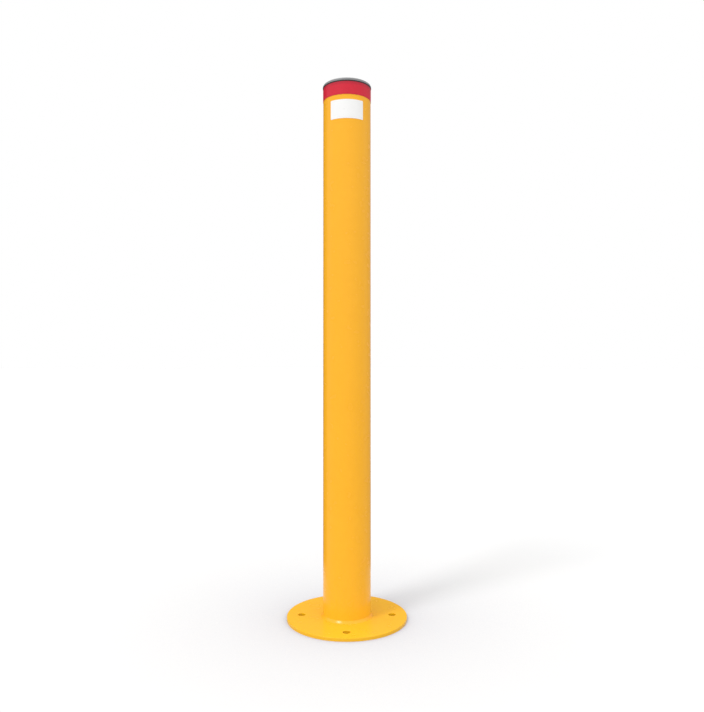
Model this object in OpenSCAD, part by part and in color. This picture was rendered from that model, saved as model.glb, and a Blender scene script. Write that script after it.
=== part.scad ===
// Surface-mounted bollard: a round steel post welded to a round base plate, with a push-in
// plastic cap, a reflective band under it and a bare label.
// Millimetres. Z is up, the origin is the centre of the plate's underside, and the label faces -Y.

/* [Post] */
// Outer diameter of the tube
post_d = 90; // [76:1:140]
// Wall of the tube
post_wall = 3; // [2:0.1:6]
// Height of the tube's sawn upper end above the floor
post_top = 1000; // [700:10:1400]

/* [Base plate] */
// Diameter of the plate
plate_d = 226; // [220:2:320]
// Thickness of the plate
plate_t = 6; // [5:1:16]
// Rounding of the plate's upper rim
plate_rim_r = 1; // [0.4:0.1:2.5]
// Diameter of the circle that the anchor holes lie on
anchor_circle_d = 170; // [168:1:196]
// Diameter of each anchor hole
anchor_hole_d = 14; // [10:0.5:18]
// Number of anchor holes
anchor_holes = 4; // [3:1:8]
// Width of the broken edge round the top of each anchor hole
anchor_edge = 0.5; // [0.2:0.1:1]

/* [Weld] */
// Leg of the fillet weld, up the tube and out along the plate
weld_leg = 4.5; // [3:0.5:9]
// Angle between the weld's hollow face and the metal, where the two meet
weld_toe = 38; // [4:1:40]

/* [Cap] */
// How far the head stands out past the tube all round
cap_lip = 1; // [0.9:0.1:3]
// Height of the set-back line at the head's foot
cap_gap_h = 1.6; // [0.6:0.1:3]
// How far that line is set back from the head's side
cap_gap_t = 1; // [0.4:0.1:1.6]
// Height of the head's upright side above that line
cap_side_h = 1.6; // [1:0.1:6]
// Radius of the head's rounded shoulder
cap_shoulder_r = 4; // [2:0.5:8]
// Radius of the shallow dome on top of the head
cap_dome_r = 400; // [120:10:900]
// Moulded wall of the dome and of the skirt
cap_wall = 2.4; // [1.5:0.1:3.5]
// Depth of the skirt that goes down into the tube
cap_skirt_h = 28; // [26:1:45]
// Reach of the gripping fins, from the skirt out to the tube
cap_fin_reach = 4; // [2:0.5:7]
// Thickness of a fin at its root
cap_fin_root = 1.4; // [1:0.1:2]
// Thickness of a fin at its tip
cap_fin_tip = 0.7; // [0.4:0.1:1]
// How far a fin sweeps back up towards the head
cap_fin_sweep = 1.6; // [0:0.2:2.4]
// Number of gripping fins
cap_fins = 4; // [2:1:4]
// Height from one fin to the next
cap_fin_pitch = 5.5; // [4:0.5:6]
// Thickness of the crossed webs under the dome
cap_web_t = 2; // [1.5:0.5:4]
// Depth of the crossed webs below the tube's end
cap_web_h = 14; // [6:1:22]

/* [Band and label] */
// Adhesive between the post and what is stuck to it
glue_t = 0.05; // [0.02:0.01:0.15]
// Height of the reflective band
band_h = 24; // [12:1:100]
// Thickness of the band's sheeting
band_t = 0.4; // [0.2:0.05:0.4]
// Length of the lap where the band's ends meet at the back
band_lap = 12; // [5:1:30]
// Width of the label, measured round the post
label_w = 65; // [20:1:90]
// Height of the label
label_h = 35; // [15:1:80]
// Thickness of the label's film
label_t = 0.25; // [0.15:0.05:0.6]
// Radius of the label's corners
label_corner_r = 1.5; // [0.5:0.5:6]
// Bare paint between the band and the label
label_gap = 9.5; // [2:0.5:60]

/* [Hidden] */

$fn = 128;
shoulder_steps = 12;
dome_steps = 5;
through = 1;

post_r = post_d / 2;
bore_r = post_r - post_wall;
plate_r = plate_d / 2;

weld_face_r = weld_leg * sqrt(0.5) / sin(45 - weld_toe);
weld_face_centre = weld_face_r * cos(weld_toe) * [1, 1];

cap_r = post_r + cap_lip;
cap_neck_r = cap_r - cap_gap_t;
cap_shoulder_z = cap_gap_h + cap_side_h;
skirt_r = bore_r - cap_fin_reach;
cavity_r = skirt_r - cap_wall;
lead_in = cap_wall / 2;
dome_edge = asin((cap_r - cap_shoulder_r) / (cap_dome_r - cap_shoulder_r));
dome_centre = [0, cap_shoulder_z - (cap_dome_r - cap_shoulder_r) * cos(dome_edge)];
crown_h = dome_centre.y + cap_dome_r;

stuck_r = post_r + glue_t;
band_r = stuck_r + band_t;
band_bottom = post_top - band_h;
lap_angle = band_lap / band_r * 180 / PI;
label_r = stuck_r + label_t;
label_middle = band_bottom - label_gap - label_h / 2;
label_angle = label_w / label_r * 180 / PI;
label_half_chord = label_r * sin(label_angle / 2);

powder_yellow = [0.99, 0.72, 0.16];
cap_grey = [0.5, 0.5, 0.505];
band_red = [0.87, 0.13, 0.2];
label_white = [0.97, 0.97, 0.95];

// Points along an arc, with its angles in degrees.
function arc(centre, r, from, to, steps) =
    [for (i = [0:steps]) let (a = from + (to - from) * i / steps) centre + r * [cos(a), sin(a)]];

module post_tube() {
    color(powder_yellow)
        translate([0, 0, plate_t])
            difference() {
                cylinder(r = post_r, h = post_top - plate_t);
                translate([0, 0, -through]) cylinder(r = bore_r, h = post_top - plate_t + 2 * through);
            }
}

// Half section of the plate, with its rounded upper rim.
module plate_section() {
    square([plate_r, plate_t - plate_rim_r]);
    square([plate_r - plate_rim_r, plate_t]);
    translate([plate_r - plate_rim_r, plate_t - plate_rim_r]) circle(plate_rim_r);
}

// One anchor hole on the plate's -Y side, with its upper edge broken.
module anchor_hole() {
    translate([0, -anchor_circle_d / 2, 0]) {
        translate([0, 0, -through]) cylinder(d = anchor_hole_d, h = plate_t + 2 * through);
        translate([0, 0, plate_t - anchor_edge])
            cylinder(d1 = anchor_hole_d, d2 = anchor_hole_d + 4 * anchor_edge, h = 2 * anchor_edge);
    }
}

module base_plate() {
    color(powder_yellow)
        difference() {
            rotate_extrude() plate_section();
            for (i = [0:anchor_holes - 1]) rotate(i * 360 / anchor_holes) anchor_hole();
        }
}

// Fillet weld in the corner between tube and plate, with a hollow face.
module base_weld() {
    color(powder_yellow)
        translate([0, 0, plate_t])
            rotate_extrude()
                translate([post_r, 0])
                    difference() {
                        square(weld_leg);
                        translate(weld_face_centre) circle(weld_face_r);
                    }
}

// Half section of the cap's head: a set-back foot, an upright side, a rounded shoulder and a
// shallow dome.
module cap_head_section() {
    shoulder_centre = [cap_r - cap_shoulder_r, cap_shoulder_z];
    shoulder = arc(shoulder_centre, cap_shoulder_r, 0, 90 - dome_edge, shoulder_steps);
    dome = arc(dome_centre, cap_dome_r, 90 - dome_edge, 90, dome_steps);
    foot = [[0, 0], [cap_neck_r, 0], [cap_neck_r, cap_gap_h], [cap_r, cap_gap_h]];
    polygon(concat(foot, shoulder, dome));
}

// Half section of the skirt, filled in, with a lead-in at its lower end.
module cap_skirt_section() {
    polygon([
        [0, cap_shoulder_z], [skirt_r, cap_shoulder_z], [skirt_r, lead_in - cap_skirt_h],
        [skirt_r - lead_in, -cap_skirt_h], [0, -cap_skirt_h]
    ]);
}

// Half section of one fin, tapering from the skirt out to the tube's bore.
module cap_fin_section() {
    polygon([[0, 0], [skirt_r, 0], [bore_r, cap_fin_sweep], [bore_r, cap_fin_sweep + cap_fin_tip],
        [skirt_r, cap_fin_root], [0, cap_fin_root]]);
}

// Half section of the space inside the skirt and under the dome.
module cap_cavity_section() {
    under_edge = asin(cavity_r / (cap_dome_r - cap_wall));
    under_dome = arc(dome_centre, cap_dome_r - cap_wall, 90 - under_edge, 90, dome_steps);
    polygon(concat([[0, -cap_skirt_h - through], [cavity_r, -cap_skirt_h - through]], under_dome));
}

// Two crossed webs, as wide as the cavity and up to the dome.
module cap_webs() {
    for (turn = [0, 90])
        rotate(turn)
            translate([-skirt_r, -cap_web_t / 2, -cap_web_h])
                cube([2 * skirt_r, cap_web_t, cap_web_h + crown_h]);
}

// The cap as if it were solid: head, skirt and fins.
module cap_outside() {
    lowest_fin = lead_in - cap_skirt_h;
    rotate_extrude() cap_head_section();
    rotate_extrude() cap_skirt_section();
    for (i = [0:cap_fins - 1])
        translate([0, 0, lowest_fin + i * cap_fin_pitch]) rotate_extrude() cap_fin_section();
}

module top_cap() {
    color(cap_grey)
        translate([0, 0, post_top])
            difference() {
                cap_outside();
                difference() {
                    rotate_extrude() cap_cavity_section();
                    cap_webs();
                }
            }
}

// Sheeting wrapped once round the post, its outer end lapped over the start at +Y.
module reflective_band() {
    color(band_red)
        translate([0, 0, band_bottom]) {
            rotate_extrude() translate([stuck_r, 0]) square([band_t, band_h]);
            rotate_extrude(angle = lap_angle, start = 90 - lap_angle / 2)
                translate([band_r, 0]) square([band_t, band_h]);
        }
}

// The label's outline as seen from the front.
module label_outline() {
    corner = [label_half_chord, label_h / 2] - label_corner_r * [1, 1];
    square([2 * corner.x, label_h], center = true);
    square([2 * label_half_chord, 2 * corner.y], center = true);
    for (x = [-corner.x, corner.x], y = [-corner.y, corner.y])
        translate([x, y]) circle(label_corner_r);
}

module blank_label() {
    color(label_white)
        translate([0, 0, label_middle])
            intersection() {
                rotate_extrude(angle = label_angle, start = 270 - label_angle / 2)
                    translate([stuck_r, -label_h / 2]) square([label_t, label_h]);
                rotate([90, 0, 0]) linear_extrude(label_r + through) label_outline();
            }
}

post_tube();
base_plate();
base_weld();
top_cap();
reflective_band();
blank_label();
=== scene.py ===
"""Looks of a surface-mounted bollard: a powder-coated post welded to a round plate, with a
push-in cap, a reflective band and a bare label.

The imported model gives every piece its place. Lengths are in metres, Z is up and the label
faces -Y.
"""

from math import asin, atan2, cos, hypot, pi, radians, sin, sqrt

import bmesh
import bpy
from bpy.props import FloatProperty, FloatVectorProperty, IntProperty, PointerProperty
from mathutils import Matrix, Vector


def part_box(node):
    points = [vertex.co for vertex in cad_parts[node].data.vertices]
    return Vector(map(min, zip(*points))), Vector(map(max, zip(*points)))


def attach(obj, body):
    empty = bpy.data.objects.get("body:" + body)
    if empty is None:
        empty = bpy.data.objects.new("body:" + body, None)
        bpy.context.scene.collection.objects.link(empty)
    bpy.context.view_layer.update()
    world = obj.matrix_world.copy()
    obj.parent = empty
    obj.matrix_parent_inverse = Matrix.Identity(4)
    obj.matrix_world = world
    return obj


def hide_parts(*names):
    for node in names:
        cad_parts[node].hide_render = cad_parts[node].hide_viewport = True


bl_info = {
    "name": "Surface-mounted bollard",
    "version": (1, 0, 0),
    "blender": (4, 5, 0),
    "location": "3D View > Sidebar > Bollard",
    "description": "Builds the painted, moulded and stuck-on surfaces of a floor bollard",
    "category": "Add Mesh",
}

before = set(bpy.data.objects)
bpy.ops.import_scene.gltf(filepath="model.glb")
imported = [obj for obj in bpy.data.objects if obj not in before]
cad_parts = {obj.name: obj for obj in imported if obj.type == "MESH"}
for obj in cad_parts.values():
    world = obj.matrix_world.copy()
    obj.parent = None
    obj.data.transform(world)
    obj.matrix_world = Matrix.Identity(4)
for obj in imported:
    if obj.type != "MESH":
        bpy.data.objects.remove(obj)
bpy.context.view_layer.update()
TUBE_LOW, TUBE_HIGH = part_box("post_tube")
PLATE_LOW, PLATE_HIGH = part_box("base_plate")
WELD_LOW, WELD_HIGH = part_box("base_weld")
CAP_LOW, CAP_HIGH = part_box("top_cap")
BAND_LOW, BAND_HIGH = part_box("reflective_band")
LABEL_LOW, LABEL_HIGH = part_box("blank_label")

MM = 0.001
MERGE = 1e-7
SHARP = radians(32)
TURN_STEPS = 192
HOLE_STEPS = 48
WELD_STEPS = 540
WELD_FACE_STEPS = 12
RIM_STEPS = 6
DOME_STEPS = 12
SHOULDER_STEPS = 14
LIP_STEPS = 4
UNDER_STEPS = 8
LABEL_COLUMNS = 32
CORNER_STEPS = 6
SCREEN_STEPS = 16
RIPPLE_BOW = 0.03
FLOOR_REACH = 60.0
SCREEN_REACH = 0.35
SCREEN_TOP = 1.25


def length(name, description, default, low, high):
    """A length that a user may change, kept in metres."""
    return FloatProperty(name=name, description=description, default=default, min=low, max=high,
                         subtype="DISTANCE", unit="LENGTH", precision=5)


def colour(name, description, default):
    """A surface colour that a user may change."""
    return FloatVectorProperty(name=name, description=description, default=default, min=0, max=1,
                               size=3, subtype="COLOR")


class BollardSteel(bpy.types.PropertyGroup):
    """Sizes and paint of the post, the plate and the weld between them."""

    wall: length("Tube wall", "Thickness of the tube's wall", 3 * MM, 1 * MM, 8 * MM)
    sawn_edge: length("Sawn edge", "Width of the broken edge at the tube's upper end",
                      0.4 * MM, 0.1 * MM, 1 * MM)
    rim: length("Plate rim", "Rounding of the plate's upper rim", 1 * MM, 0.4 * MM, 2.5 * MM)
    hole_circle: length("Hole circle", "Radius of the circle that the anchor holes lie on",
                        85 * MM, 60 * MM, 100 * MM)
    hole: length("Anchor hole", "Radius of each anchor hole", 7 * MM, 4 * MM, 10 * MM)
    hole_edge: length("Hole edge", "Width of the broken edge round each anchor hole",
                      0.5 * MM, 0.2 * MM, 1 * MM)
    holes: IntProperty(name="Anchor holes", description="Number of anchor holes in the plate",
                       default=4, min=3, max=8)
    toe: FloatProperty(name="Weld toe", description="Angle between the weld's face and the metal",
                       default=radians(38), min=radians(4), max=radians(40),
                       subtype="ANGLE", unit="ROTATION")
    run: FloatProperty(name="Weld run", description="Share of its leg that the weld's face runs out",
                       default=0.82, min=0.5, max=1)
    ripple: length("Weld ripple", "Height of the weld's ripples under the paint",
                   0.03 * MM, 0, 0.5 * MM)
    ripples: IntProperty(name="Ripples", description="Number of ripples round the weld",
                         default=77, min=1, max=120)
    peel: length("Orange peel", "Width of one swell of the powder coat's orange peel",
                 2.4 * MM, 0.5 * MM, 10 * MM)
    peel_depth: length("Peel depth", "Depth of the orange peel", 0.16 * MM, 0, 0.5 * MM)
    paint: colour("Paint", "Colour of the powder coat", (1, 0.485, 0.0234))
    # Painted shade: a darker colour laid inside the anchor holes and on the plate's rounded rim.
    hole_and_rim_shade: colour("Hole paint", "Colour of the thin paint inside the anchor holes",
                       (0.75, 0.4, 0.004))
    deep_tint: colour("Deep tint", "Tint of the powder coat where it lies thickest",
                      (0.95, 0.9, 0.75))
    # Painted shade: a darker colour on the plate and low on the post, running out upwards over the foot
    # fade, for the shade near the foot.
    painted_foot_shade: colour("Foot paint", "Colour of the powder coat on the plate and low on the post",
                       (0.892, 0.484, 0.0251))
    foot_fade: length("Foot fade", "Height over which that colour runs out on the post",
                      110 * MM, 10 * MM, 400 * MM)
    # Painted shade: the weld's colour is darker than the paint, for the shade in the fillet between post
    # and plate.
    bead: colour("Bead paint", "Colour of the powder coat on the weld", (0.91, 0.415, 0.018))


class BollardCap(bpy.types.PropertyGroup):
    """Sizes and plastic of the push-in cap."""

    side: length("Upright side", "Height of the head's upright side above the shadow gap",
                 1.6 * MM, 1 * MM, 6 * MM)
    shoulder: length("Shoulder", "Radius of the head's rounded shoulder", 4 * MM, 2 * MM, 8 * MM)
    dome: length("Dome", "Radius of the shallow dome on top", 400 * MM, 120 * MM, 900 * MM)
    wall: length("Moulded wall", "Wall of the dome and of the skirt", 2.4 * MM, 1.5 * MM, 3.5 * MM)
    lower_edge: length("Lower edge", "Rounding of the head's lower edge", 0.3 * MM, 0, 1 * MM)
    fin_reach: length("Fin reach", "Reach of the gripping fins out to the tube",
                      4 * MM, 2 * MM, 7 * MM)
    fin_root: length("Fin root", "Thickness of a fin at its root", 1.4 * MM, 1 * MM, 2 * MM)
    fin_tip: length("Fin tip", "Thickness of a fin at its tip", 0.7 * MM, 0.4 * MM, 1 * MM)
    fin_sweep: length("Fin sweep", "How far a fin sweeps back up", 1.6 * MM, 0, 2.4 * MM)
    fin_pitch: length("Fin pitch", "Height from one fin to the next", 5.5 * MM, 4 * MM, 6 * MM)
    fins: IntProperty(name="Fins", description="Number of gripping fins", default=4, min=2, max=4)
    web: length("Web", "Thickness of the crossed webs", 2 * MM, 1.5 * MM, 4 * MM)
    web_depth: length("Web depth", "Depth of the crossed webs below the tube's end",
                      14 * MM, 6 * MM, 22 * MM)
    gap: length("Shadow gap", "Height of the set-back line at the head's foot",
                1.6 * MM, 0.6 * MM, 3 * MM)
    gap_depth: length("Gap depth", "How far that line is set back", 1 * MM, 0.4 * MM, 1.6 * MM)
    grain: length("Mould grain", "Width of the mould's grain", 0.8 * MM, 0.1 * MM, 5 * MM)
    grain_depth: length("Grain depth", "Depth of the mould's grain", 0.08 * MM, 0, 0.5 * MM)
    plastic: colour("Plastic", "Colour of the moulded plastic", (0.215, 0.215, 0.22))
    # Painted shade: near-black colour laid down in the shadow gap under the head.
    gap_shade: colour("Gap shade", "Colour down in the shadow gap", (0.004, 0.004, 0.005))


class BollardSheeting(bpy.types.PropertyGroup):
    """Sizes and colours of what is stuck to the post."""

    glue: length("Adhesive", "Adhesive between the post and what is stuck to it",
                 0.05 * MM, 0.02 * MM, 0.15 * MM)
    band: length("Sheeting", "Thickness of the reflective sheeting", 0.4 * MM, 0.2 * MM, 0.4 * MM)
    lap: length("Lap", "Length of the lap where the band's ends meet", 12 * MM, 5 * MM, 30 * MM)
    film: length("Label film", "Thickness of the label's film", 0.25 * MM, 0.15 * MM, 0.6 * MM)
    corner: length("Label corner", "Radius of the label's corners", 1.5 * MM, 0.5 * MM, 6 * MM)
    bead: length("Bead", "Width of one of the sheeting's glass beads", 0.5 * MM, 0.1 * MM, 2 * MM)
    bead_depth: length("Bead depth", "How far the beads show in its face",
                       0.03 * MM, 0, 0.2 * MM)
    red: colour("Band", "Colour of the reflective sheeting", (0.8, 0.013, 0.043))
    deep_red: colour("Band beads", "Colour between the sheeting's glass beads", (0.52, 0.007, 0.027))
    # Painted shadow: the sheeting is darker close under the cap, fading downwards, for the cap's shadow.
    painted_cap_shadow: colour("Band rim", "Colour of the sheeting close under the cap", (0.44, 0.008, 0.03))
    cap_shadow_fade: length("Rim fade", "Height over which that colour runs out",
                     7 * MM, 1 * MM, 24 * MM)
    white: colour("Label", "Colour of the label's film", (0.93, 0.93, 0.92))


class BollardStage(bpy.types.PropertyGroup):
    """Light, floor and camera."""

    sky: FloatProperty(name="Sky", description="Strength of the soft light all round",
                       default=0.88, min=0, max=3)
    sky_front: FloatProperty(name="Sky in front", description="How much stronger it is in front",
                             default=0.41, min=0, max=1)
    sky_top: FloatProperty(name="Sky overhead", description="How much stronger it is overhead",
                           default=0.6, min=0, max=1)
    key: FloatProperty(name="Key", description="Strength of the soft key lamp",
                       default=0.88, min=0, max=5)
    key_turn: FloatProperty(name="Key turn", description="Turn of the key lamp to the left",
                            default=radians(48), subtype="ANGLE", unit="ROTATION")
    key_rise: FloatProperty(name="Key rise", description="Height of the key lamp over the floor",
                            default=radians(52.5), subtype="ANGLE", unit="ROTATION")
    key_width: FloatProperty(name="Key width", description="Width of the key lamp in the sky",
                             default=radians(14), subtype="ANGLE", unit="ROTATION")
    seen_floor: FloatProperty(name="Seen floor", description="Brightness of the floor as seen",
                              default=0.7075, min=0, max=1)
    lit_floor: FloatProperty(name="Lit floor", description="Light that the floor throws back",
                             default=0.33, min=0, max=1)
    contact: FloatProperty(name="Contact shade", description="Reach of the shade round the foot",
                           default=0.45, min=0, max=2, subtype="DISTANCE", unit="LENGTH")
    openness: FloatProperty(name="Openness", description="Open sky below which it gets no deeper",
                            default=0.75, min=0, max=1)
    foot_shade: colour("Foot shade", "Colour of that shade, against the paint's glow on the floor",
                       (0, 0.07, 0.3))
    left_screen: FloatProperty(name="Left screen", description="Brightness of the screen behind left",
                               default=0.02, min=0, max=1)
    right_screen: FloatProperty(name="Right screen",
                                description="Brightness of the screen behind right",
                                default=0.4, min=0, max=1)
    low_screen: FloatProperty(name="Low screen", description="Brightness of the low screen behind",
                              default=0.18, min=0, max=1)
    lens: FloatProperty(name="Lens", description="Focal length in millimetres on a 36 mm sensor",
                        default=34.7, min=10, max=200)
    camera: FloatVectorProperty(name="Camera", description="Place of the camera",
                                default=(0.00954, -1.30183, 0.48037), subtype="XYZ", unit="LENGTH")
    camera_tilt: FloatProperty(name="Camera tilt", description="Tilt of the camera upwards",
                               default=radians(0.613), subtype="ANGLE", unit="ROTATION")


class Signal:
    """A value inside a material. Arithmetic on it adds Math nodes."""

    def __init__(self, finish, socket):
        self.finish = finish
        self.socket = socket

    def _math(self, operation, *values):
        """A new Math node on this and other values."""
        return self.finish.node("ShaderNodeMath", {"operation": operation}, dict(enumerate(values)))

    def __add__(self, other):
        return self._math("ADD", self, other)

    def __sub__(self, other):
        return self._math("SUBTRACT", self, other)

    def __rsub__(self, other):
        return self._math("SUBTRACT", other, self)

    def __mul__(self, other):
        return self._math("MULTIPLY", self, other)

    def __or__(self, other):
        return self._math("MAXIMUM", self, other)

    __radd__ = __add__
    __rmul__ = __mul__


class Finish:
    """A material or a world, and the nodes that it is made of."""

    def __init__(self, owner):
        self.owner = owner
        owner.use_nodes = True
        self.tree = owner.node_tree
        self.tree.nodes.clear()

    @staticmethod
    def pick(sockets, key):
        """A socket by its number, or by its name among those in use."""
        if isinstance(key, int):
            return sockets[key]
        return next(socket for socket in sockets if socket.name == key and socket.enabled)

    def node(self, kind, settings=None, sockets=None, output=0):
        """Adds a node with its settings and then its sockets, and returns one of its outputs."""
        made = self.tree.nodes.new(kind)
        for name, value in (settings or {}).items():
            setattr(made, name, value)
        for name, value in (sockets or {}).items():
            target = self.pick(made.inputs, name)
            if isinstance(value, Signal):
                self.tree.links.new(value.socket, target)
            else:
                target.default_value = value
        return Signal(self, self.pick(made.outputs, output)) if len(made.outputs) else None

    def grain(self, size, detail=2.0, roughness=0.5):
        """Noise on the piece's own coordinates, with features of about that size."""
        place = self.node("ShaderNodeTexCoord", output="Object")
        return self.node("ShaderNodeTexNoise", None,
                         {"Vector": place, "Scale": 1 / size, "Detail": detail,
                          "Roughness": roughness}, output="Fac")

    def cells(self, size, feature="F1"):
        """Distance to the middle of the nearest of many small cells of about that size."""
        place = self.node("ShaderNodeTexCoord", output="Object")
        return self.node("ShaderNodeTexVoronoi", {"feature": feature},
                         {"Vector": place, "Scale": 1 / size}, output="Distance")

    def below(self, limit, axes, blur=0.1 * MM):
        """One where the piece's own coordinate, or its distance from the axis, is up to a limit,
        and nought once it is past the blur."""
        place = self.node("ShaderNodeTexCoord", output="Object")
        if axes == "XY":
            flat = self.node("ShaderNodeVectorMath", {"operation": "MULTIPLY"},
                             {0: place, 1: (1, 1, 0)})
            level = self.node("ShaderNodeVectorMath", {"operation": "LENGTH"}, {0: flat},
                              output="Value")
        else:
            level = self.node("ShaderNodeSeparateXYZ", None, {"Vector": place}, output=axes)
        return self.node("ShaderNodeMapRange", {"clamp": True},
                         {"Value": level, "From Min": limit, "From Max": limit + blur,
                          "To Min": 1.0, "To Max": 0.0}, output="Result")

    def mixed(self, share, first, second, blend="MIX"):
        """A colour between two others, or the first one tinted by the second."""
        ends = {name: end if isinstance(end, Signal) else (*end, 1)
                for name, end in (("A", first), ("B", second))}
        return self.node("ShaderNodeMix", {"data_type": "RGBA", "blend_type": blend},
                         {"Factor": share, **ends}, output="Result")

    def bumped(self, height, depth):
        """A normal from a height, whose full range is that deep."""
        return self.node("ShaderNodeBump", None, {"Height": height, "Distance": depth})

    def seen(self):
        """One where something is seen, mirrored or seen through glass, and nought where it lights."""
        kinds = ("Is Camera Ray", "Is Glossy Ray", "Is Transmission Ray")
        camera, gloss, glass = (self.node("ShaderNodeLightPath", output=kind) for kind in kinds)
        return camera | gloss | glass

    def surface(self, **sockets):
        """Ends the material with a plain shader, whose sockets are named with underscores."""
        named = {name.replace("_", " "): value for name, value in sockets.items()}
        return self.close(self.node("ShaderNodeBsdfPrincipled", None, named))

    def close(self, shader):
        """Ends the material or the world with that shader."""
        kind = "World" if isinstance(self.owner, bpy.types.World) else "Material"
        self.node(f"ShaderNodeOutput{kind}", None, {"Surface": shader})
        return self.owner


def powder_coat(steel):
    """Semi-gloss powder coat: faint orange peel, a slow drift in its depth, and painted shade inside
    the holes and over the plate's rim. Painted shade also darkens its colour slowly towards the plate."""
    name = "yellow_paint"
    if name in bpy.data.materials:
        return bpy.data.materials[name]
    coat = Finish(bpy.data.materials.new(name))
    peel = coat.grain(steel.peel, detail=1.0)
    flow = coat.grain(14 * MM, detail=1.0)
    drift = coat.grain(120 * MM)
    # Painted shade: masks of the anchor holes' walls and the plate's rounded rim, which take the darker
    # hole colour.
    low = coat.below(PLATE_HIGH.z - steel.hole_edge - 0.1 * MM, "Z")
    within = coat.below(PLATE_HIGH.x - 3 * steel.rim, "XY")
    rim_shade_mask = ((1 - coat.below(PLATE_HIGH.x - steel.rim, "XY", steel.rim))
                * (1 - coat.below(PLATE_HIGH.z - steel.rim, "Z", steel.rim)))
    # Painted shade: the colour turns darker towards the plate.
    foot = coat.below(PLATE_HIGH.z, "Z", steel.foot_fade)
    even = coat.mixed(foot, steel.paint, steel.painted_foot_shade)
    thick = coat.mixed(0.5 * drift + 0.5 * flow, even, steel.deep_tint, "MULTIPLY")
    return coat.surface(
        Base_Color=coat.mixed(low * within | rim_shade_mask, thick, steel.hole_and_rim_shade),
        Roughness=0.22 + 0.08 * flow,
        Specular_IOR_Level=0.25,
        Normal=coat.bumped(peel + flow, steel.peel_depth),
    )


def weld_coat_painted_shade(steel):
    """The same coat where it has run thick and smooth over the weld, painted darker as shade in the
    fillet.
    """
    bead = Finish(bpy.data.materials.new("weld_coat_painted_shade"))
    flow = bead.grain(7 * MM, detail=1.0)
    return bead.surface(
        # Painted shade: the weld's darker colour, with a little random variation.
        Base_Color=bead.mixed(flow, steel.bead, [0.97 * level for level in steel.bead]),
        Roughness=0.18 + 0.06 * flow,
        Specular_IOR_Level=0.35,
        Normal=bead.bumped(flow, 0.03 * MM),
    )


def cap_plastic(cap):
    """Satin moulded plastic with the fine grain of its mould, and near-black painted shade down in the
    shadow gap.
    """
    plastic = Finish(bpy.data.materials.new("satin_plastic"))
    grain = plastic.grain(cap.grain)
    drift = plastic.grain(25 * MM)
    lighter = [1.1 * level for level in cap.plastic]
    open_face = plastic.mixed(drift, cap.plastic, lighter)
    # Painted shade: near black below the top of the shadow gap.
    gap = plastic.below(TUBE_HIGH.z + cap.gap, "Z")
    return plastic.surface(
        Base_Color=plastic.mixed(gap, open_face, cap.gap_shade),
        Roughness=0.34 + 0.12 * drift,
        Normal=plastic.bumped(grain, cap.grain_depth),
    )


def reflective_red(sheeting):
    """Red sheeting: a bed of tiny glass beads under a clear face, darker close under the cap as a painted
    shadow.
    """
    red = Finish(bpy.data.materials.new("red_sheeting"))
    beads = red.cells(sheeting.bead)
    drift = red.grain(9 * MM)
    # Painted shadow: one close under the cap, fading to nought further down.
    low = red.below(BAND_HIGH.z - sheeting.cap_shadow_fade, "Z", sheeting.cap_shadow_fade)
    face = red.mixed(0.7 * beads + 0.3 * drift, sheeting.red, sheeting.deep_red)
    return red.surface(
        Base_Color=red.mixed(low, sheeting.painted_cap_shadow, face),
        Roughness=0.34 + 0.12 * drift,
        Specular_IOR_Level=0.3,
        Normal=red.bumped(beads, sheeting.bead_depth),
    )


def label_film(sheeting):
    """White film with a smooth face that follows the paint under it."""
    film = Finish(bpy.data.materials.new("white_film"))
    lie = film.grain(11 * MM, detail=1.0)
    shade = [0.97 * level for level in sheeting.white]
    return film.surface(
        Base_Color=film.mixed(lie, sheeting.white, shade),
        Roughness=0.25 + 0.08 * lie,
        Normal=film.bumped(lie, 0.06 * MM),
    )


def white_floor(stage):
    """Floor that is seen as white where the light is full, and throws less back on the object."""
    floor = Finish(bpy.data.materials.new("studio_floor"))
    open_sky = floor.node("ShaderNodeAmbientOcclusion", {"samples": 8},
                          {"Distance": stage.contact}, output="AO")
    seen = floor.mixed(open_sky | stage.openness, stage.foot_shade, [stage.seen_floor] * 3)
    back = floor.node("ShaderNodeBsdfDiffuse", None, {"Color": (*[stage.lit_floor] * 3, 1)})
    shown = floor.node("ShaderNodeBsdfDiffuse", None, {"Color": seen})
    return floor.close(floor.node("ShaderNodeMixShader", None,
                                  {0: floor.seen(), 1: back, 2: shown}))


def screen_cloth(name, level):
    """Grey cloth of that brightness, which only gloss shows."""
    cloth = Finish(bpy.data.materials.new(name))
    return cloth.close(cloth.node("ShaderNodeEmission", None, {"Color": (level, level, level, 1)}))


def soft_sky(stage):
    """Sky that is seen as white, and whose light is stronger in front and overhead."""
    sky = Finish(bpy.data.worlds.new("soft_sky"))
    towards = sky.node("ShaderNodeTexCoord", output="Generated")
    back, up = (sky.node("ShaderNodeSeparateXYZ", None, {"Vector": towards}, output=axis)
                for axis in "YZ")
    light = stage.sky * (1 - stage.sky_front * back + stage.sky_top * up)
    seen = sky.seen()
    return sky.close(sky.node("ShaderNodeBackground", None,
                              {"Color": (1, 1, 1, 1), "Strength": seen + (1 - seen) * light}))


def arc(centre, radius, first, last, steps):
    """Points along an arc of an outline, with its angles in radians."""
    turns = [first + (last - first) * step / steps for step in range(steps + 1)]
    return [(centre[0] + radius * cos(turn), centre[1] + radius * sin(turn)) for turn in turns]


def spin_outline(bm, outline, centre=(0, 0), steps=TURN_STEPS, closed=False):
    """Turns an outline of radii and heights right round an upright axis."""
    corners = [bm.verts.new((centre[0] + radius, centre[1], height)) for radius, height in outline]
    ends = corners[1:] + corners[:1] if closed else corners[1:]
    edges = [bm.edges.new(pair) for pair in zip(corners, ends)]
    bmesh.ops.spin(bm, geom=corners + edges, cent=(*centre, 0), axis=(0, 0, 1), dvec=(0, 0, 0),
                   angle=2 * pi, steps=steps, use_merge=True, use_duplicate=False)


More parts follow.
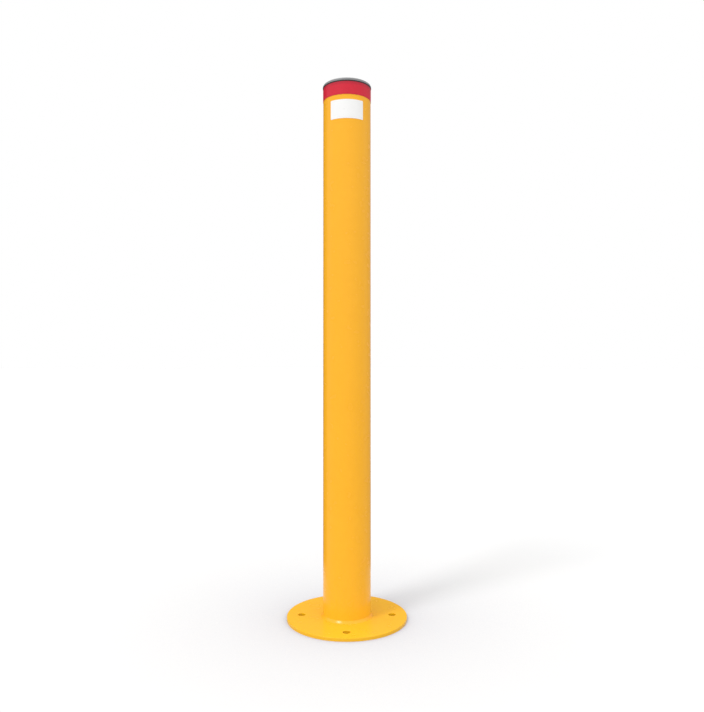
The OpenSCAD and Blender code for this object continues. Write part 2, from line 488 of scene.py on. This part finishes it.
def cover(bm, level):
    """Closes what is open at one height with a flat face, round any holes in it."""
    rims = [edge for edge in bm.edges
            if edge.is_boundary and all(abs(v.co.z - level) < MERGE for v in edge.verts)]
    bmesh.ops.triangle_fill(bm, use_beauty=True, use_dissolve=False, edges=rims, normal=(0, 0, 1))


def flat_strip(bm, reach, low, high, columns, corner=0.0):
    """An upright flat face in XZ, cut into columns, with rounded corners if asked."""
    made = bmesh.ops.create_grid(bm, x_segments=columns, y_segments=1, size=0.5)
    bmesh.ops.scale(bm, vec=(reach, high - low, 1), verts=made["verts"])
    bmesh.ops.rotate(bm, matrix=Matrix.Rotation(pi / 2, 3, "X"), verts=made["verts"])
    bmesh.ops.translate(bm, vec=(0, 0, (low + high) / 2), verts=made["verts"])
    if corner:
        ends = [v for v in bm.verts if len(v.link_edges) == 2]
        bmesh.ops.bevel(bm, geom=ends, offset=corner, offset_type="OFFSET", affect="VERTICES",
                        segments=CORNER_STEPS, profile=0.5, material=-1)


def thicken(bm, thickness):
    """Gives an upright flat face its thickness, towards +Y."""
    made = bmesh.ops.extrude_face_region(bm, geom=bm.faces[:])
    moved = [part for part in made["geom"] if isinstance(part, bmesh.types.BMVert)]
    bmesh.ops.translate(bm, vec=(0, thickness, 0), verts=moved)


def wrap(bm, radius, turn, rise=None):
    """Bends a flat strip round the post: X becomes the way round, Y the distance out."""
    for vert in bm.verts:
        angle = turn + vert.co.x / radius
        out = radius + vert.co.y + (rise(vert.co.x) if rise else 0)
        vert.co.x, vert.co.y = out * cos(angle), out * sin(angle)


def made_mesh(bm, name):
    """Merges doubles, turns the faces outwards, and marks the edges that stay sharp."""
    bmesh.ops.remove_doubles(bm, verts=bm.verts, dist=MERGE)
    bmesh.ops.recalc_face_normals(bm, faces=bm.faces)
    if not all(edge.is_manifold for edge in bm.edges):
        raise RuntimeError(f"{name} has an open edge")
    for face in bm.faces:
        face.smooth = True
    for edge in bm.edges:
        edge.smooth = edge.calc_face_angle() < SHARP
    mesh = bpy.data.meshes.new(name)
    bm.to_mesh(mesh)
    bm.free()
    return mesh


def shown(name, mesh, material):
    """Puts a mesh in the scene as an object of its own."""
    mesh.materials.append(material)
    made = bpy.data.objects.new(name, mesh)
    bpy.context.scene.collection.objects.link(made)
    return made


def join(piece, extra):
    """Joins a second closed mesh to a piece with an exact Boolean, and marks its edges afresh."""
    helper = bpy.data.objects.new(extra.name, extra)
    bpy.context.scene.collection.objects.link(helper)
    union = piece.modifiers.new("union", "BOOLEAN")
    union.operation, union.solver, union.object = "UNION", "EXACT", helper
    shape = piece.evaluated_get(bpy.context.evaluated_depsgraph_get())
    bm = bmesh.new()
    bm.from_mesh(shape.to_mesh())
    shape.to_mesh_clear()
    piece.modifiers.clear()
    bpy.data.objects.remove(helper)
    bpy.data.meshes.remove(extra)
    finish = piece.data.materials[0]
    piece.data = made_mesh(bm, piece.name)
    piece.data.materials.append(finish)


def seat(piece, node):
    """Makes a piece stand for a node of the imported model."""
    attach(piece, "root")
    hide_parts(node)


class BOLLARD_OT_post(bpy.types.Operator):
    """Build the painted tube"""

    bl_idname = "bollard.post"
    bl_label = "Post"
    bl_options = {"REGISTER", "UNDO"}

    def execute(self, context):
        steel = context.scene.bollard_steel
        outside, foot, top = TUBE_HIGH.x, TUBE_LOW.z, TUBE_HIGH.z
        inside, edge = outside - steel.wall, steel.sawn_edge
        bm = bmesh.new()
        spin_outline(bm, [(inside, foot), (outside, foot), (outside, top - edge), (outside - edge, top),
                          (inside + edge, top), (inside, top - edge)], closed=True)
        piece = shown("painted_tube", made_mesh(bm, "painted_tube"), powder_coat(steel))
        seat(piece, "post_tube")
        return {"FINISHED"}


class BOLLARD_OT_plate(bpy.types.Operator):
    """Build the painted plate with its anchor holes"""

    bl_idname = "bollard.plate"
    bl_label = "Base plate"
    bl_options = {"REGISTER", "UNDO"}

    def execute(self, context):
        steel = context.scene.bollard_steel
        reach, floor, top = PLATE_HIGH.x, PLATE_LOW.z, PLATE_HIGH.z
        rim, edge = steel.rim, steel.hole_edge
        bm = bmesh.new()
        shoulder = arc((reach - rim, top - rim), rim, 0, pi / 2, RIM_STEPS)
        spin_outline(bm, [(reach, floor), *shoulder, (reach - 2 * rim, top)])
        for hole in range(steel.holes):
            turn = 2 * pi * hole / steel.holes - pi / 2
            centre = steel.hole_circle * cos(turn), steel.hole_circle * sin(turn)
            spin_outline(bm, [(steel.hole, floor), (steel.hole, top - edge), (steel.hole + edge, top)],
                         centre, HOLE_STEPS)
        for level in (floor, top):
            cover(bm, level)
        piece = shown("painted_plate", made_mesh(bm, "painted_plate"), powder_coat(steel))
        seat(piece, "base_plate")
        return {"FINISHED"}


class BOLLARD_OT_weld(bpy.types.Operator):
    """Build the rippled fillet weld at the post's foot"""

    bl_idname = "bollard.weld"
    bl_label = "Weld"
    bl_options = {"REGISTER", "UNDO"}

    def execute(self, context):
        steel = context.scene.bollard_steel
        root, foot, leg = TUBE_HIGH.x, WELD_LOW.z, WELD_HIGH.z - WELD_LOW.z
        radius = leg * sqrt(0.5) / sin(pi / 4 - steel.toe)
        out = radius * cos(steel.toe)
        first, last = pi + steel.toe, 1.5 * pi - steel.toe
        bm = bmesh.new()
        face = arc((root + out, foot + out), radius, first, last, WELD_FACE_STEPS)
        spin_outline(bm, [(root, foot), *face], steps=WELD_STEPS, closed=True)
        for vert in bm.verts:
            turn = atan2(vert.co.y, vert.co.x)
            u, w = hypot(vert.co.x, vert.co.y) - root - out, vert.co.z - foot - out
            share = (atan2(w, u) % (2 * pi) - first) / (last - first)
            on_face = abs(hypot(u, w) - radius) < 0.01 * MM
            crest = 0.5 + 0.5 * cos(steel.ripples * (turn + RIPPLE_BOW * (2 * share - 1) ** 2))
            uneven = 0.8 + 0.2 * sin(5 * turn + 1)
            lift = on_face * steel.ripple * sin(pi * share) * crest * uneven / radius
            reach = root + (out + u - u * lift) * steel.run
            vert.co = reach * cos(turn), reach * sin(turn), vert.co.z - w * lift
        piece = shown("painted_weld", made_mesh(bm, "painted_weld"), weld_coat_painted_shade(steel))
        seat(piece, "base_weld")
        return {"FINISHED"}


class BOLLARD_OT_cap(bpy.types.Operator):
    """Build the push-in cap"""

    bl_idname = "bollard.cap"
    bl_label = "Cap"
    bl_options = {"REGISTER", "UNDO"}

    def head(self, cap, reach, seat_height):
        """Outline of the head from the middle of its dome down to its seat, and the dome's centre."""
        shoulder, side, lip = cap.shoulder, seat_height + cap.gap + cap.side, cap.lower_edge
        edge_turn = asin((reach - shoulder) / (cap.dome - shoulder))
        middle = side - (cap.dome - shoulder) * cos(edge_turn)
        dome = arc((0, middle), cap.dome, pi / 2, pi / 2 - edge_turn, DOME_STEPS)
        corner = arc((reach - shoulder, side), shoulder, pi / 2 - edge_turn, 0, SHOULDER_STEPS)
        foot, back = seat_height + cap.gap, reach - cap.gap_depth
        edge = arc((reach - lip, foot + lip), lip, 0, -pi / 2, LIP_STEPS)
        return dome + corner[1:] + edge + [(back, foot), (back, seat_height)], middle

    def webs(self, cap, inside, foot, top):
        """The crossed webs under the dome, their ends sunk into the skirt and the dome."""
        bm = bmesh.new()
        bmesh.ops.create_cube(bm, size=cap.web)
        bmesh.ops.translate(bm, vec=(0, 0, foot + cap.web / 2), verts=bm.verts)
        for vert in bm.verts:
            vert.co.z = foot if vert.co.z < foot + cap.web / 2 else top
        sides = [face for face in bm.faces if abs(face.normal.z) < 0.5]
        for face in sides:
            arm = bmesh.ops.extrude_discrete_faces(bm, faces=[face])["faces"][0]
            bmesh.ops.translate(bm, vec=arm.normal * (inside - cap.web / 2), verts=arm.verts)
        return made_mesh(bm, "webs")

    def execute(self, context):
        cap, steel = context.scene.bollard_cap, context.scene.bollard_steel
        reach, seat_height, foot = CAP_HIGH.x, TUBE_HIGH.z, CAP_LOW.z
        bore = TUBE_HIGH.x - steel.wall
        skirt = bore - cap.fin_reach
        inside, lead_in = skirt - cap.wall, cap.wall / 2
        outline, middle = self.head(cap, reach, seat_height)
        outline.append((skirt, seat_height))
        for fin in reversed(range(cap.fins)):
            low = foot + lead_in + fin * cap.fin_pitch
            tip = low + cap.fin_sweep
            outline += [(skirt, low + cap.fin_root), (bore, tip + cap.fin_tip), (bore, tip), (skirt, low)]
        outline += [(skirt - lead_in, foot), (inside, foot)]
        under_turn = asin(inside / (cap.dome - cap.wall))
        outline += arc((0, middle), cap.dome - cap.wall, pi / 2 - under_turn, pi / 2, UNDER_STEPS)
        bm = bmesh.new()
        spin_outline(bm, outline)
        piece = shown("moulded_cap", made_mesh(bm, "moulded_cap"), cap_plastic(cap))
        end = inside + cap.wall / 2
        under = middle + (cap.dome - cap.wall + sqrt(cap.dome ** 2 - end ** 2)) / 2
        join(piece, self.webs(cap, end, seat_height - cap.web_depth, under))
        seat(piece, "top_cap")
        return {"FINISHED"}


class BOLLARD_OT_band(bpy.types.Operator):
    """Wrap the reflective band round the post, with its lap at the back"""

    bl_idname = "bollard.band"
    bl_label = "Reflective band"
    bl_options = {"REGISTER", "UNDO"}

    def execute(self, context):
        sheeting = context.scene.bollard_sheeting
        radius, thick, lap = TUBE_HIGH.x + sheeting.glue, sheeting.band, sheeting.lap
        around = 2 * pi * radius
        climb = lap / 3
        bm = bmesh.new()
        flat_strip(bm, around + lap, BAND_LOW.z, BAND_HIGH.z, TURN_STEPS + 8)
        thicken(bm, thick)

        def rise(x):
            """How far the end has climbed on to the start, with a hair's clearance."""
            share = min(max((x - (around - lap) / 2 + climb) / climb, 0), 1)
            return 1.02 * thick * share * share * (3 - 2 * share)

        wrap(bm, radius, 1.5 * pi, rise)
        piece = shown("red_band", made_mesh(bm, "red_band"), reflective_red(sheeting))
        seat(piece, "reflective_band")
        return {"FINISHED"}


class BOLLARD_OT_label(bpy.types.Operator):
    """Stick the bare label to the front of the post"""

    bl_idname = "bollard.label"
    bl_label = "Label"
    bl_options = {"REGISTER", "UNDO"}

    def execute(self, context):
        sheeting = context.scene.bollard_sheeting
        radius = TUBE_HIGH.x + sheeting.glue
        width = 2 * radius * asin(LABEL_HIGH.x / (radius + sheeting.film))
        bm = bmesh.new()
        flat_strip(bm, width, LABEL_LOW.z, LABEL_HIGH.z, LABEL_COLUMNS, sheeting.corner)
        thicken(bm, sheeting.film)
        wrap(bm, radius, -pi / 2)
        piece = shown("bare_label", made_mesh(bm, "bare_label"), label_film(sheeting))
        seat(piece, "blank_label")
        return {"FINISHED"}


class BOLLARD_OT_stage(bpy.types.Operator):
    """Set up the floor, the light and the camera"""

    bl_idname = "bollard.stage"
    bl_label = "Stage"
    bl_options = {"REGISTER", "UNDO"}

    def screen(self, name, level, start, turn, reach=SCREEN_REACH, height=SCREEN_TOP):
        """A curved screen behind the post, over some degrees from its back. Only gloss shows it,
        and it keeps the paint's edges dark."""
        bm = bmesh.new()
        ends = [bm.verts.new((0, reach, end)) for end in (0, height)]
        edge = bm.edges.new(ends)
        bmesh.ops.rotate(bm, verts=ends, matrix=Matrix.Rotation(radians(start), 3, "Z"))
        bmesh.ops.spin(bm, geom=[*ends, edge], cent=(0, 0, 0), axis=(0, 0, 1), dvec=(0, 0, 0),
                       angle=radians(turn), steps=SCREEN_STEPS, use_merge=False,
                       use_duplicate=False)
        mesh = bpy.data.meshes.new(name)
        bm.to_mesh(mesh)
        bm.free()
        screen = shown(name, mesh, screen_cloth(name, level))
        screen.visible_camera = screen.visible_diffuse = screen.visible_shadow = False

    def execute(self, context):
        scene, stage = context.scene, context.scene.bollard_stage
        bm = bmesh.new()
        bmesh.ops.create_circle(bm, cap_ends=True, segments=96, radius=FLOOR_REACH)
        mesh = bpy.data.meshes.new("floor")
        bm.to_mesh(mesh)
        bm.free()
        shown("floor", mesh, white_floor(stage))

        self.screen("left_screen", stage.left_screen, start=14, turn=62)
        self.screen("right_screen", stage.right_screen, start=-14, turn=-62)
        self.screen("low_screen", stage.low_screen, start=-35, turn=70, reach=0.34, height=0.25)
        scene.world = soft_sky(stage)

        lamp = bpy.data.lights.new("key_lamp", "SUN")
        lamp.energy, lamp.angle = stage.key, stage.key_width
        key = bpy.data.objects.new("key_lamp", lamp)
        across, up = cos(stage.key_rise), sin(stage.key_rise)
        towards = Vector((-sin(stage.key_turn) * across, -cos(stage.key_turn) * across, up))
        key.rotation_euler = (-towards).to_track_quat("-Z", "Y").to_euler()
        scene.collection.objects.link(key)

        camera = bpy.data.objects.new("camera", bpy.data.cameras.new("camera"))
        camera.data.lens, camera.data.sensor_width = stage.lens, 36
        camera.location = stage.camera
        camera.rotation_euler = (pi / 2 + stage.camera_tilt, 0, 0)
        scene.collection.objects.link(camera)
        scene.camera = camera
        scene.view_settings.view_transform = "Standard"
        return {"FINISHED"}


GROUPS = {
    "bollard_steel": BollardSteel,
    "bollard_cap": BollardCap,
    "bollard_sheeting": BollardSheeting,
    "bollard_stage": BollardStage,
}
OPERATORS = (
    BOLLARD_OT_post,
    BOLLARD_OT_plate,
    BOLLARD_OT_weld,
    BOLLARD_OT_cap,
    BOLLARD_OT_band,
    BOLLARD_OT_label,
    BOLLARD_OT_stage,
)


class BOLLARD_PT_sidebar(bpy.types.Panel):
    """Sizes, colours and building steps of the bollard"""

    bl_idname = "BOLLARD_PT_sidebar"
    bl_label = "Bollard"
    bl_space_type = "VIEW_3D"
    bl_region_type = "UI"
    bl_category = "Bollard"

    def draw(self, context):
        for name, group in GROUPS.items():
            box = self.layout.box()
            for key in group.__annotations__:
                box.prop(getattr(context.scene, name), key)
        for step in OPERATORS:
            self.layout.operator(step.bl_idname)


def register():
    for cls in (*GROUPS.values(), *OPERATORS, BOLLARD_PT_sidebar):
        bpy.utils.register_class(cls)
    for name, group in GROUPS.items():
        setattr(bpy.types.Scene, name, PointerProperty(type=group))


def unregister():
    for name in GROUPS:
        delattr(bpy.types.Scene, name)
    for cls in reversed((*GROUPS.values(), *OPERATORS, BOLLARD_PT_sidebar)):
        bpy.utils.unregister_class(cls)


def main():
    """Builds every piece and the stage."""
    register()
    for step in OPERATORS:
        group, name = step.bl_idname.split(".")
        getattr(getattr(bpy.ops, group), name)()


if __name__ == "__main__":
    main()
